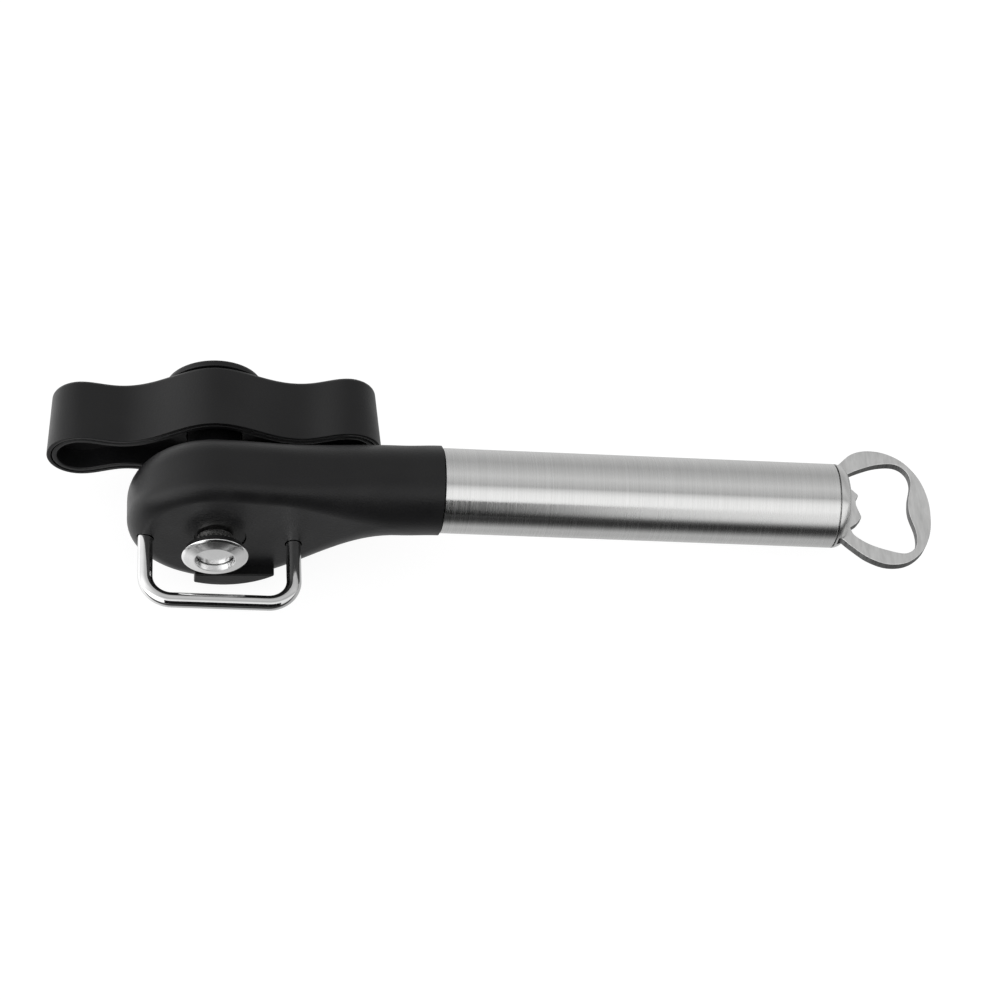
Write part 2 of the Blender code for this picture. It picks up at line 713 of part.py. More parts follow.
def build_knob(make):
    knob = make.piece("knob_body", knob_shell(), (BLACK, 0.45, 0.0), SPINDLE)
    knob.rotation_euler = (0.0, KNOB_YAW, 0.0)
    make.join(knob, rod(KNOB_BOSS_R, KNOB_BOSS_BOTTOM, KNOB_TOP - 1.0, 32), SPINDLE, ALONG_Y, "boss")
    make.cut(knob, rod(HEX_R + GAP, KNOB_BOSS_BOTTOM - 1.0, HEX_TOP + GAP, 6), SPINDLE, ALONG_Y, "socket")
    make.cut(knob, rod(1.7, HEX_TOP - 1.0, POCKET_FLOOR + 1.0, 16), SPINDLE, ALONG_Y, "screw_hole")
    make.cut(knob, rod(POCKET_R, POCKET_FLOOR, KNOB_TOP + 1.0, 32), SPINDLE, ALONG_Y, "pocket")
    liner = make.piece("knob_liner", knob_liner(), (BLACK, 0.45, 0.0), SPINDLE)
    liner.rotation_euler = (0.0, KNOB_YAW, 0.0)
    boss_hole = rod(KNOB_BOSS_R + GAP, LINER_FLOOR - 1.0, LINER_FLOOR + LINER_WALL + 1.0, 32)
    make.cut(liner, boss_hole, SPINDLE, ALONG_Y, "boss_hole")
    low, high = KNOB_WASHER_Y
    make.turned("knob_washer", [(KNOB_WASHER_R, high), (KNOB_WASHER_R, low), (1.6, low), (1.6, high)],
                (STEEL, 0.3, 1.0), SPINDLE, sides=24)
    screw = make.turned("knob_screw", KNOB_SCREW_PROFILE, (STEEL, 0.3, 1.0), SPINDLE, sides=24)
    make.cut(screw, block((-3.2, -0.4, 26.0), (3.2, 0.4, 27.5)), SPINDLE, ALONG_Y, "slot")
    low, high = CAP_Y
    stem, tip = POCKET_R - GAP, CAP_STEM_BOTTOM
    make.turned("knob_cap", [(0, high), (CAP_R - CAP_EDGE, high), (CAP_R, high - CAP_EDGE), (CAP_R, low),
                (stem, low), (stem, tip), (0, tip)], (BLACK, 0.4, 0.0), SPINDLE, sides=48)


# ---- handle and bottle opener -------------------------------------------------------------


def build_handle(make):
    inner = TUBE_R - TUBE_WALL
    make.turned("handle_tube", [(TUBE_R, TUBE_END_X), (TUBE_R, COLLAR_X + GAP), (inner, COLLAR_X + GAP),
                (inner, TUBE_END_X)], (STEEL, 0.3, 1.0), along=ALONG_X, sides=56)
    skirt = inner - GAP
    round_centre = CAP_END_X - CAP_ROUND
    dome = arc((TUBE_R - CAP_ROUND, round_centre), CAP_ROUND, math.pi / 2, 0.0, 6)
    profile = [(0, CAP_END_X)] + dome + [(skirt, round_centre), (skirt, CAP_SKIRT_X), (0, CAP_SKIRT_X)]
    cap = make.turned("tube_end_cap", profile, (STEEL, 0.3, 1.0), along=ALONG_X, sides=56)
    deep = 0.5 * PLATE_T + GAP
    wide = 0.5 * TANG_WIDTH + GAP
    make.cut(cap, block((CAP_SKIRT_X - 1, -wide, -deep), (CAP_END_X + 1, wide, deep)), name="slot")
    make.cut(cap, block((CAP_MOUTH_X, -TUBE_R - 1, -deep), (CAP_END_X + 1, TUBE_R + 1, deep)), name="mouth")
    low, high = PLUG_X
    plug = make.turned("tang_plug", [(0, high), (skirt, high), (skirt, low), (0, low)],
                       (NYLON, 0.5, 0.0), along=ALONG_X)
    make.cut(plug, block((low - 1, -wide, -deep), (high + 1, wide, deep)), name="slot")
    make.cut(plug, rod(PIN_R + GAP, -11.0, 11.0, 16), (PIN_X, 0, 0), name="pin_hole")
    pin = rod(PIN_R, -8.0, 8.0, 16)
    make.piece("tang_pin", pin, (STEEL, 0.3, 1.0), (PIN_X, 0, 0))


def smooth_through(points, steps=3):
    """A smooth line through points: each span is a cubic led by the points on its two sides."""
    line = []
    for i in range(len(points) - 1):
        here, there = Vector(points[i]), Vector(points[i + 1])
        lead = (there - Vector(points[i - 1])) / 2 if i > 0 else there - here
        trail = (Vector(points[i + 2]) - here) / 2 if i + 2 < len(points) else there - here
        for k in range(steps):
            line.append(tuple(hermite(k / steps, here, lead, there, trail)))
    return line + [points[-1]]


def opener_outline():
    """The outside of the opener plate: tang, shoulders and a slightly lopsided ring."""
    half = 0.5 * TANG_WIDTH
    shoulder_x = CAP_MOUTH_X + GAP
    ring = [(shoulder_x, -SHOULDER_Y), (154.1, -12.1), (157.9, -15.1), (162.6, -16.8), (167.6, -16.1),
            (171.7, -12.8), (174.2, -7.6), (OPENER_TIP_X, -2.0), (174.7, 3.2), (173.0, 8.5),
            (169.6, 12.9), (165.2, 15.3), (160.6, 15.8), (156.8, 14.7), (153.6, 11.9),
            (shoulder_x, SHOULDER_Y)]
    tang = [(shoulder_x, half), (TANG_END_X, half), (TANG_END_X, -half), (shoulder_x, -half)]
    return smooth_through(ring) + tang


def opener_hole():
    """The kidney-shaped hole, with the lifting lip and its two teeth on the handle side."""
    rim = [(154.5, 8.3), (157.6, 9.9), (162.5, 11.7), (167.2, 12.1), (170.0, 10.3), (170.9, 6.9),
           (169.8, 2.0), (169.6, -2.0), (170.7, -7.2), (170.3, -11.2), (167.6, -13.4), (163.0, -12.7),
           (158.5, -11.1), (155.2, -8.8), (154.3, -6.7)]
    lower_tooth = [(156.1, -5.4), (157.5, -3.6)]
    notch = [(156.8, -1.4), (156.4, 0.0), (156.5, 1.5)]
    upper_tooth = (157.4, 2.7)
    return smooth_through(rim) + lower_tooth + notch + [upper_tooth, (155.2, 5.0)]


def build_opener(make):
    plate = flat_plate("bottle_opener", [opener_outline(), opener_hole()], PLATE_T)
    obj = make.piece("bottle_opener", plate, (STEEL, 0.35, 1.0), (0, 0, 0))
    make.cut(obj, rod(PIN_R + GAP, -3.0, 3.0, 16), (PIN_X, 0, 0), name="pin_hole")


# ---- pose ---------------------------------------------------------------------------------


def lie_on_table(make):
    """Tilt the tool until head and handle end touch one plane, and centre its box on the origin."""
    corner_x = CAP_END_X - CAP_ROUND
    corner_z = -(TUBE_R - CAP_ROUND)
    run, rise = corner_x - FAR_X, corner_z - FAR_Z
    tilt = math.atan2(rise, run) + math.asin((FAR_R - CAP_ROUND) / math.hypot(run, rise))
    make.pose.rotation_euler = (0.0, tilt, 0.0)
    bpy.context.view_layer.update()
    graph = bpy.context.evaluated_depsgraph_get()
    points = []
    for obj in make.parts.objects:
        if obj.type == "MESH":
            solid = obj.evaluated_get(graph)
            points += [solid.matrix_world @ v.co for v in solid.data.vertices]
    low = [min(p[i] for p in points) for i in range(3)]
    high = [max(p[i] for p in points) for i in range(3)]
    make.pose.location = (-(low[0] + high[0]) / 2, -(low[1] + high[1]) / 2, -low[2])
    bpy.context.view_layer.update()


def main():
    clear_scene()
    make = Maker()
    build_head(make)
    build_cover(make)
    build_roller(make)
    build_bail(make)
    build_bush(make)
    build_spindle(make)
    build_knob(make)
    build_handle(make)
    build_opener(make)
    lie_on_table(make)


main()
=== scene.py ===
"""Looks of the side-cutting can opener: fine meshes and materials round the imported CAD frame.

Every piece is drawn in the tool's own frame, in millimetres: X runs along the handle's axis from the
head to the bottle opener, Y along the spindle from the disc up to the knob, and Z to the side
that is flush with the handle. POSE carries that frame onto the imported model.
"""

import json
import math

import bmesh
import bpy
from mathutils import Matrix, Vector


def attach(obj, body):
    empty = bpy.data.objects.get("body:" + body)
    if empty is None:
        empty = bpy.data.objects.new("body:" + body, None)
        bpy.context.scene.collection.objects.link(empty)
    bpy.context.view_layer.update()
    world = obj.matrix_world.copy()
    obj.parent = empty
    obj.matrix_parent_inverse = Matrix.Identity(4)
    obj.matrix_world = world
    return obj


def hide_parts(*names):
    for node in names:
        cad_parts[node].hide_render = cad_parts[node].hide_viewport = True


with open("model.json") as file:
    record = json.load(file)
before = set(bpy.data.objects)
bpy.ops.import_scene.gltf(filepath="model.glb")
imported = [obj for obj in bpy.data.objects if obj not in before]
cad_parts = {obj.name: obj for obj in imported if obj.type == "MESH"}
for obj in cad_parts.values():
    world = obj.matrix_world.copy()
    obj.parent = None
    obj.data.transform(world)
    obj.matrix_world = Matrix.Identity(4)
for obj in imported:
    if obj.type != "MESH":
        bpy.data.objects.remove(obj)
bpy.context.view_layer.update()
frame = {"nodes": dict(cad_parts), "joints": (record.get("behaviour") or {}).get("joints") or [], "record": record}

MM = 0.001
FINE = 96

# The head: a round body that runs into the round neck of the handle.
SPINDLE_X = 0.4
SPINDLE_Z = -7.8
SPINDLE = (SPINDLE_X, 0.0, SPINDLE_Z)
HEAD_R = 20.5
FAR_R = 23.7
FAR_START = math.radians(221.0)
FAR_END = math.radians(300.0)
HEAD_TOP = 7.5
HEAD_BOTTOM = -10.8
HEAD_TOP_ROUND = 8.3
HEAD_BOTTOM_ROUND = 5.0
NECK_R = 10.8
NECK_SAG = 0.65
NECK_START_X = 44.0
COLLAR_X = 53.7
BLEND_START_X = 14.0
FAR_X = (FAR_R - HEAD_R) * -math.cos(FAR_START)
FAR_Z = SPINDLE_Z + (FAR_R - HEAD_R) * -math.sin(FAR_START)
BUSH_X = 1.7
RECESS_R = 13.9
RECESS_FLOOR = 3.9
BUSH_BORE_R = 6.2
STUD_PLACE = (BUSH_X, -17.3)
STUD_HOLE_R = 1.3
STUD_HOLE_TOP = -8.2

# The fence beside the disc.
FENCE_BOTTOM = -13.5
FENCE_OUTER_R = 19.6
FENCE_X = (-3.4, 15.6)
FENCE_WALL_Z = (-21.0, -19.6)
FENCE_SUNK = 1.5

# The wire bail.
WIRE_R = 1.8
WIRE_PLAY = 0.25
BAIL_X = (-16.0, 19.3)
BAIL_Z = -9.5
BAIL_BAR_Y = -27.4
BAIL_TOP_Y = -4.6
BAIL_BEND_R = 6.3

# The turning knob and its cap.
KNOB_BOTTOM = 12.9
KNOB_TOP = 30.4
KNOB_HALF = 40.4
KNOB_HUB = 13.6
KNOB_WAIST = 6.2
KNOB_WAIST_S = 21.5
KNOB_END = 8.2
KNOB_DRAFT = 1.2
KNOB_TOP_ROUND = 1.4
KNOB_LIP_ROUND = 0.3
KNOB_ROOF = 2.3
KNOB_WALL = 1.0
LINER_GAP = 0.3
LINER_WALL = 1.2
LINER_FLOOR = 17.9
KNOB_BOSS_R = 6.5
KNOB_BOSS_BOTTOM = 7.85
KNOB_YAW = math.radians(-5.6)
POCKET_R = 4.4
POCKET_FLOOR = 23.8
HEX_R = 3.0
HEX_TOP = 21.8
SCREW_HOLE_R = 1.7
CAP_R = 12.0
CAP_Y = (30.7, 32.5)
CAP_STEM_BOTTOM = 27.4

# Disc, rivet and feed wheel on the spindle.
DISC_R = 7.95
DISC_TOP = (7.2, -14.4)
DISC_EDGE_Y = -16.1
DISC_BEVEL = (7.35, -16.5)
DISC_HUB = (5.05, -17.2)
DISH_R = 4.75
DISH_FLOOR_R = 4.5
DISH_FLOOR = -15.0
DISC_BORE_R = 2.6
RIVET_R = 4.2
RIVET_Y = (-15.7, -15.3)
SHANK_R = 1.2
SHANK_TOP = -12.9
WHEEL_R = 5.4
TOOTH_DEPTH = 0.5
TEETH = 30
WHEEL_Y = (-14.1, -12.6)

# Handle tube, its domed end and the flat bottle opener.
TUBE_R = 10.25
TUBE_WALL = 0.8
TUBE_X = (54.0, 150.3)
END_ROUND = 3.0
END_X = 153.6
END_SKIRT_X = 146.0
END_MOUTH_X = 151.0
PLATE_T = 2.2
PLATE_EDGE = 0.2
OPENER_TIP_X = 175.0
SHOULDER_Y = 9.4
TANG_WIDTH = 12.0
TANG_START_X = 134.0
TANG_PIN_X = 139.5
TANG_PIN_R = 1.8

# Camera: its lens, how far it stands from the tool frame's origin and how far that origin lies off
# its axis (mm to the right and up), and two tool axes as seen, in shares of (right, up, away).
LENS = 122.4
SENSOR = 36.0
CAMERA_DISTANCE = 808.5
ORIGIN_OFF_AXIS = (-67.63, 4.35)
HANDLE_SEEN = (0.987, -0.040, 0.150)
SPINDLE_SEEN = (-0.048, 0.847, 0.53)
NEAREST_SEEN = 0.01
FARTHEST_SEEN = 20.0

WHITE = (1.0, 1.0, 1.0, 1.0)


def pose_matrix():
    """The tool frame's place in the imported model, from the spindle's joint and the opener face's tilt."""
    joints = {joint["name"]: joint for joint in frame["joints"]}
    mounts = {mount["name"]: mount for mount in frame["record"]["mounts"]}
    near = Vector(mounts["opener_face"]["axis"])
    turn = Matrix.Rotation(math.atan2(near.x, near.z), 4, "Y")
    spindle = Vector(joints["spindle_spin"]["pos_m"])
    return Matrix.Translation(spindle - turn @ (Vector((SPINDLE_X, 0.0, SPINDLE_Z)) * MM)) @ turn


POSE = pose_matrix()


# ---- shape helpers ------------------------------------------------------------------------


def arc(centre, radius, start, end, count):
    """Points on an arc in a plane, from one angle to another."""
    angles = [start + (end - start) * i / count for i in range(count + 1)]
    return [(centre[0] + radius * math.cos(a), centre[1] + radius * math.sin(a)) for a in angles]


def smooth_step(t):
    t = min(max(t, 0.0), 1.0)
    return t * t * (3.0 - 2.0 * t)


def hermite(t, start, start_slope, end, end_slope):
    return (start * (2 * t**3 - 3 * t**2 + 1) + start_slope * (t**3 - 2 * t**2 + t)
            + end * (3 * t**2 - 2 * t**3) + end_slope * (t**3 - t**2))


def smooth_through(points, steps=8):
    """A smooth line through points: each span is a cubic led by the points on its two sides."""
    line = []
    for i in range(len(points) - 1):
        here, there = Vector(points[i]), Vector(points[i + 1])
        lead = (there - Vector(points[i - 1])) / 2 if i > 0 else there - here
        trail = (Vector(points[i + 2]) - here) / 2 if i + 2 < len(points) else there - here
        for k in range(steps):
            line.append(tuple(hermite(k / steps, here, lead, there, trail)))
    return line + [points[-1]]


def eased(points, radius, closed=False, steps=4):
    """A polyline with each inner corner rounded off."""
    count = len(points)
    result = []
    for i, corner in enumerate(points):
        here = Vector(corner)
        if not closed and i in (0, count - 1):
            result.append(corner)
            continue
        before = Vector(points[i - 1]) - here
        after = Vector(points[(i + 1) % count]) - here
        reach = min(radius, 0.45 * before.length, 0.45 * after.length)
        start, end = here + before.normalized() * reach, here + after.normalized() * reach
        for k in range(steps + 1):
            t = k / steps
            result.append(tuple(start * (1 - t) ** 2 + here * 2 * t * (1 - t) + end * t * t))
    return result


def finish_mesh(name, work, angle=32.0):
    """Weld, face outwards and shade a bmesh smooth apart from its real corners."""
    bmesh.ops.remove_doubles(work, verts=work.verts, dist=1e-6)
    bmesh.ops.recalc_face_normals(work, faces=work.faces)
    mesh = bpy.data.meshes.new(name)
    work.to_mesh(mesh)
    work.free()
    mesh.shade_smooth()
    mesh.set_sharp_from_angle(angle=math.radians(angle))
    return mesh


def grid_skin(work, rings, closed_across):
    """Quads between neighbouring rings of points; a ring may close on itself."""
    count = len(rings[0])
    for first, second in zip(rings, rings[1:]):
        for i in range(count if closed_across else count - 1):
            j = (i + 1) % count
            work.faces.new((first[i], first[j], second[j], second[i]))


def lathe(name, profile, along="Y", at=(0.0, 0.0, 0.0), sides=FINE, angle=32.0):
    """A turned piece. The profile is (radius, height); a closed ring unless it starts at radius 0."""
    solid = profile[0][0] == 0.0
    points = profile if solid else profile + [profile[0]]
    work = bmesh.new()
    rings = []
    for radius, height in points:
        ring = []
        for i in range(sides):
            a = 2 * math.pi * i / sides
            c, s = radius * math.cos(a), radius * math.sin(a)
            place = (c, height, s) if along == "Y" else (height, c, s)
            ring.append(work.verts.new((Vector(at) + Vector(place)) * MM))
        rings.append(ring)
    grid_skin(work, rings, True)
    bmesh.ops.remove_doubles(work, verts=work.verts, dist=1e-7)
    bmesh.ops.dissolve_degenerate(work, edges=work.edges, dist=1e-8)
    return finish_mesh(name, work, angle)


def cylinder(radius, low, high, along="Y", at=(0.0, 0.0, 0.0), sides=48):
    """A cutter: a plain cylinder along one of the tool's axes."""
    return lathe("cutter", [(0.0, low), (radius, low), (radius, high), (0.0, high)], along, at, sides)


def block(low, high):
    """A cutter: a box between two corners."""
    low, high = Vector(low) * MM, Vector(high) * MM
    work = bmesh.new()
    shape = Matrix.Translation((low + high) / 2) @ Matrix.Diagonal((*(high - low), 1.0))
    bmesh.ops.create_cube(work, size=1.0, matrix=shape)
    return finish_mesh("cutter", work)


def carve(mesh, cutters, joined=(), angle=32.0):
    """The mesh with some meshes taken away and others added, as one new mesh."""
    holder = bpy.data.objects.new("carved", mesh)
    bpy.context.scene.collection.objects.link(holder)
    tools = []
    for operation, shapes in (("UNION", joined), ("DIFFERENCE", cutters)):
        for shape in shapes:
            tool = bpy.data.objects.new("tool", shape)
            bpy.context.scene.collection.objects.link(tool)
            step = holder.modifiers.new("step", "BOOLEAN")
            step.operation = operation
            step.solver = "EXACT"
            step.object = tool
            tools.append(tool)
    bpy.context.view_layer.update()
    graph = bpy.context.evaluated_depsgraph_get()
    result = bpy.data.meshes.new_from_object(holder.evaluated_get(graph))
    for obj in [holder, *tools]:
        bpy.data.objects.remove(obj, do_unlink=True)
    result.shade_smooth()
    result.set_sharp_from_angle(angle=math.radians(angle))
    return result


def curve_mesh(name, curve):
    """The closed mesh of a curve, welded and shaded."""
    holder = bpy.data.objects.new("curve", curve)
    bpy.context.scene.collection.objects.link(holder)
    bpy.context.view_layer.update()
    graph = bpy.context.evaluated_depsgraph_get()
    raw = bpy.data.meshes.new_from_object(holder.evaluated_get(graph))
    bpy.data.objects.remove(holder, do_unlink=True)
    work = bmesh.new()
    work.from_mesh(raw)
    bpy.data.meshes.remove(raw)
    return finish_mesh(name, work)


def plate(name, outlines, thickness, edge):
    """A flat plate with holes in the tool's XY plane, its edges rounded over."""
    curve = bpy.data.curves.new(name, "CURVE")
    curve.dimensions = "2D"
    curve.fill_mode = "BOTH"
    curve.extrude = (0.5 * thickness - edge) * MM
    curve.bevel_depth = edge * MM
    curve.bevel_resolution = 3
    curve.offset = -edge * MM
    for outline in outlines:
        spline = curve.splines.new("POLY")
        spline.points.add(len(outline) - 1)
        for point, (x, y) in zip(spline.points, outline):
            point.co = (x * MM, y * MM, 0.0, 1.0)
        spline.use_cyclic_u = True
    return curve_mesh(name, curve)


def piece(name, mesh, body, material, slot, *replaced, flat=True):
    """Show a mesh of the tool frame as a piece that rides on a CAD body."""
    mesh.transform(POSE)
    obj = bpy.data.objects.new(name, mesh)
    bpy.context.scene.collection.objects.link(obj)
    mesh.materials.clear()
    mesh.materials.append(material)
    if flat:
        even = obj.modifiers.new("even_normals", "WEIGHTED_NORMAL")
        even.keep_sharp = True
    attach(obj, body)
    if replaced:
        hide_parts(*replaced)
    return obj


# ---- materials ----------------------------------------------------------------------------


class Look:
    """A Principled material whose colour, roughness and bump come from procedural nodes."""

    def __init__(self, name, colour, roughness, metallic=0.0, specular=0.5):
        self.material = bpy.data.materials.new(name)
        self.material.use_nodes = True
        self.nodes = self.material.node_tree.nodes
        self.links = self.material.node_tree.links
        self.shader = self.nodes["Principled BSDF"]
        self.shader.inputs["Base Color"].default_value = (*colour, 1.0)
        self.shader.inputs["Roughness"].default_value = roughness
        self.shader.inputs["Metallic"].default_value = metallic
        self.shader.inputs["Specular IOR Level"].default_value = specular
        self.place = self.tool_place()

    def tool_place(self):
        """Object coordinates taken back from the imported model's frame to the tool's frame."""
        back = self.nodes.new("ShaderNodeMapping")
        back.vector_type = "TEXTURE"
        back.inputs["Location"].default_value = POSE.translation
        back.inputs["Rotation"].default_value = POSE.to_euler()
        self.links.new(self.nodes.new("ShaderNodeTexCoord").outputs["Object"], back.inputs["Vector"])
        return back.outputs["Vector"]

    def stretched(self, scale):
        """Object coordinates scaled apart on the three axes."""
        mapping = self.nodes.new("ShaderNodeMapping")
        mapping.inputs["Scale"].default_value = scale
        self.links.new(self.place, mapping.inputs["Vector"])
        return mapping.outputs["Vector"]

    def noise(self, scale, detail=3.0, stretch=(1.0, 1.0, 1.0), roughness=0.5):
        noise = self.nodes.new("ShaderNodeTexNoise")
        noise.inputs["Scale"].default_value = scale
        noise.inputs["Detail"].default_value = detail
        noise.inputs["Roughness"].default_value = roughness
        self.links.new(self.stretched(stretch), noise.inputs["Vector"])
        return noise.outputs["Fac"]

    def spread(self, value, low, high, start=0.3, end=0.7):
        """Map a 0 to 1 value onto a range."""
        mapped = self.nodes.new("ShaderNodeMapRange")
        mapped.inputs["From Min"].default_value = start
        mapped.inputs["From Max"].default_value = end
        mapped.inputs["To Min"].default_value = low
        mapped.inputs["To Max"].default_value = high
        self.links.new(value, mapped.inputs["Value"])
        return mapped.outputs["Result"]

    def tint(self, value, dark, light):
        ramp = self.nodes.new("ShaderNodeValToRGB")
        ramp.color_ramp.elements[0].position = 0.3
        ramp.color_ramp.elements[1].position = 0.7
        ramp.color_ramp.elements[0].color = (*dark, 1.0)
        ramp.color_ramp.elements[1].color = (*light, 1.0)
        self.links.new(value, ramp.inputs["Fac"])
        self.links.new(ramp.outputs["Color"], self.shader.inputs["Base Color"])

    def rough(self, value, low, high):
        self.links.new(self.spread(value, low, high), self.shader.inputs["Roughness"])

    def bump(self, value, strength, height):
        bump = self.nodes.new("ShaderNodeBump")
        bump.inputs["Strength"].default_value = strength
        bump.inputs["Distance"].default_value = height * MM
        previous = self.shader.inputs["Normal"]
        if previous.is_linked:
            self.links.new(previous.links[0].from_socket, bump.inputs["Normal"])
        self.links.new(value, bump.inputs["Height"])
        self.links.new(bump.outputs["Normal"], previous)


def moulded_plastic(name, dark, light, low, high, grain=0.5):
    """Black satin plastic: a fine spark-eroded grain and faint handling marks."""
    look = Look(name, dark, low, specular=0.28)
    look.tint(look.noise(90.0, 4.0), dark, light)
    look.rough(look.noise(160.0, 5.0), low, high)
    look.bump(look.noise(2200.0, 3.0), grain, 0.09)
    look.bump(look.noise(240.0, 2.0), 0.12, 0.08)
    return look.material


def brushed_round(name, colour, light):
    """Steel finished by an abrasive belt that ran round the tube."""
    look = Look(name, colour, 0.30, metallic=1.0)
    look.shader.inputs["Anisotropic"].default_value = 0.9
    along = look.nodes.new("ShaderNodeVectorTransform")
    along.convert_from = "OBJECT"
    along.convert_to = "WORLD"
    along.inputs["Vector"].default_value = POSE.to_3x3() @ Vector((1.0, 0.0, 0.0))
    look.links.new(along.outputs["Vector"], look.shader.inputs["Tangent"])
    lines = look.noise(1.0, 4.0, (2600.0, 22.0, 22.0), 0.7)
    look.tint(lines, colour, light)
    look.rough(lines, 0.20, 0.30)
    look.bump(lines, 0.12, 0.012)
    look.bump(look.noise(60.0, 2.0), 0.05, 0.2)
    return look.material


def satin_steel(name, dark, light, low=0.28, high=0.42):
    """Vibration-finished steel with short random scratches."""
    look = Look(name, dark, low, metallic=1.0)
    scratches = look.noise(1.0, 4.0, (2600.0, 140.0, 900.0), 0.7)
    look.tint(look.noise(1.0, 4.0, (900.0, 180.0, 400.0), 0.6), dark, light)
    look.rough(scratches, low, high)
    look.bump(scratches, 0.25, 0.02)
    return look.material


def polished(name, dark, light, low=0.05, high=0.13):
    """Bright plated or polished steel with hairlines."""
    look = Look(name, dark, low, metallic=1.0)
    hairlines = look.noise(1.0, 3.0, (3000.0, 260.0, 260.0), 0.6)
    look.tint(look.noise(220.0, 3.0), dark, light)
    look.rough(hairlines, low, high)
    look.bump(look.noise(700.0, 2.0), 0.06, 0.02)
    return look.material


def machined(name, dark, light, low=0.22, high=0.38):
    """Turned steel: a fine uneven tool finish."""
    look = Look(name, dark, low, metallic=1.0)
    marks = look.noise(1.0, 3.0, (1400.0, 5200.0, 1400.0), 0.6)
    look.tint(look.noise(260.0, 3.0), dark, light)
    look.rough(marks, low, high)
    look.bump(marks, 0.3, 0.02)
    return look.material


def cut_edge_painted_shade():
    """The cut edge of the opener plate: dull and streaked across its thickness, with painted shade: its steel is
    coloured far darker than the faces so the edges read as shaded.
    """
    look = Look("opener_edge_painted_shade", (0.10, 0.10, 0.10), 0.5, metallic=1.0)
    streaks = look.noise(1.0, 3.0, (1600.0, 1600.0, 120.0), 0.6)
    # painted shade: these edge colours are much darker than the plate's own steel
    look.tint(streaks, (0.07, 0.07, 0.07), (0.22, 0.22, 0.22))
    look.rough(streaks, 0.42, 0.6)
    look.bump(streaks, 0.3, 0.03)
    return look.material


def plain_nylon():
    look = Look("nylon", (0.70, 0.69, 0.65), 0.5)
    look.tint(look.noise(120.0, 3.0), (0.66, 0.65, 0.60), (0.76, 0.75, 0.71))
    look.rough(look.noise(400.0, 3.0), 0.42, 0.58)
    look.bump(look.noise(900.0, 2.0), 0.2, 0.05)
    return look.material


BLACK = (0.006, 0.006, 0.0065)
LOOKS = {
    "black_plastic": moulded_plastic("black_plastic", BLACK, (0.009, 0.009, 0.0095), 0.34, 0.44),
    "cap_plastic": moulded_plastic("cap_plastic", BLACK, (0.008, 0.008, 0.0085), 0.32, 0.42),
    "brushed_tube": brushed_round("brushed_tube", (0.58, 0.58, 0.575), (0.66, 0.66, 0.655)),
    "opener_steel": satin_steel("opener_steel", (0.56, 0.56, 0.555), (0.72, 0.72, 0.715)),
    "wheel_steel": machined("wheel_steel", (0.50, 0.50, 0.49), (0.60, 0.60, 0.59)),
    "screw_steel": machined("screw_steel", (0.48, 0.48, 0.47), (0.58, 0.58, 0.57), 0.26, 0.4),
    "polished_disc": polished("polished_disc", (0.74, 0.74, 0.74), (0.82, 0.82, 0.82), 0.14, 0.24),
    "chromed_wire": polished("chromed_wire", (0.60, 0.60, 0.60), (0.66, 0.66, 0.66)),
    "bush_acetal": moulded_plastic("bush_acetal", (0.008,) * 3, (0.012,) * 3, 0.40, 0.50, 0.2),
    "nylon": plain_nylon(),
}


# ---- head ---------------------------------------------------------------------------------


def neck_centre(x):
    """The neck leaves the handle's axis a little on its way to the head."""
    return -NECK_SAG * smooth_step((COLLAR_X - x) / (COLLAR_X - NECK_START_X))


def near_side(x):
    """How far the flush side of the head lies from the handle's axis."""
    far_from_neck = smooth_step((NECK_START_X - x) / NECK_START_X)
    return neck_centre(x) + NECK_R + (SPINDLE_Z + HEAD_R + NECK_SAG - NECK_R) * far_from_neck


def flare_side(x):
    """The hollow curve that leads from the round of the head to the far side of the neck."""
    if x >= NECK_START_X:
        return neck_centre(x) - NECK_R
    start_x = FAR_X + FAR_R * math.cos(FAR_END)
    start_z = FAR_Z + FAR_R * math.sin(FAR_END)
    length = NECK_START_X - start_x
    start_slope = -length / math.tan(FAR_END)
    return hermite((x - start_x) / length, start_z, start_slope, -NECK_R - NECK_SAG, 0.0)


def plan_stations():
    """Pairs of plan points (near side, far side) from the collar to the head's left tip."""
    start_x = FAR_X + FAR_R * math.cos(FAR_END)
    neck_x = [COLLAR_X + (NECK_START_X - COLLAR_X) * i / 8 for i in range(9)]
    flare_x = [NECK_START_X + (start_x - NECK_START_X) * i / 22 for i in range(1, 23)]
    pairs = [((x, near_side(x)), (x, flare_side(x))) for x in neck_x + flare_x]
    straight = [(start_x * (1 - i / 8), near_side(start_x * (1 - i / 8))) for i in range(1, 9)]
    near_arc = arc((0, SPINDLE_Z), HEAD_R, math.pi / 2, math.pi, 26)[1:]
    far_arc = arc((FAR_X, FAR_Z), FAR_R, FAR_END, FAR_START, 24)[1:]
    tip_arc = arc((0, SPINDLE_Z), HEAD_R, FAR_START, math.pi, 10)[1:]
    return pairs + list(zip(straight + near_arc, far_arc + tip_arc))


def head_profile(count):
    """(inset, height) from the middle of the bottom face round the side to the top face."""
    low = HEAD_BOTTOM + HEAD_BOTTOM_ROUND
    high = HEAD_TOP - HEAD_TOP_ROUND
    bottom = arc((HEAD_BOTTOM_ROUND, low), HEAD_BOTTOM_ROUND, -math.pi / 2, -math.pi, count)
    return bottom + arc((HEAD_TOP_ROUND, high), HEAD_TOP_ROUND, math.pi, math.pi / 2, count)


def neck_profile(count):
    """The same points on a round neck: the inset is measured from its widest place."""
    steps = 2 * count + 1
    angles = [-math.pi / 2 + math.pi * i / steps for i in range(steps + 1)]
    return [(NECK_R - NECK_R * math.cos(a), NECK_R * math.sin(a)) for a in angles]


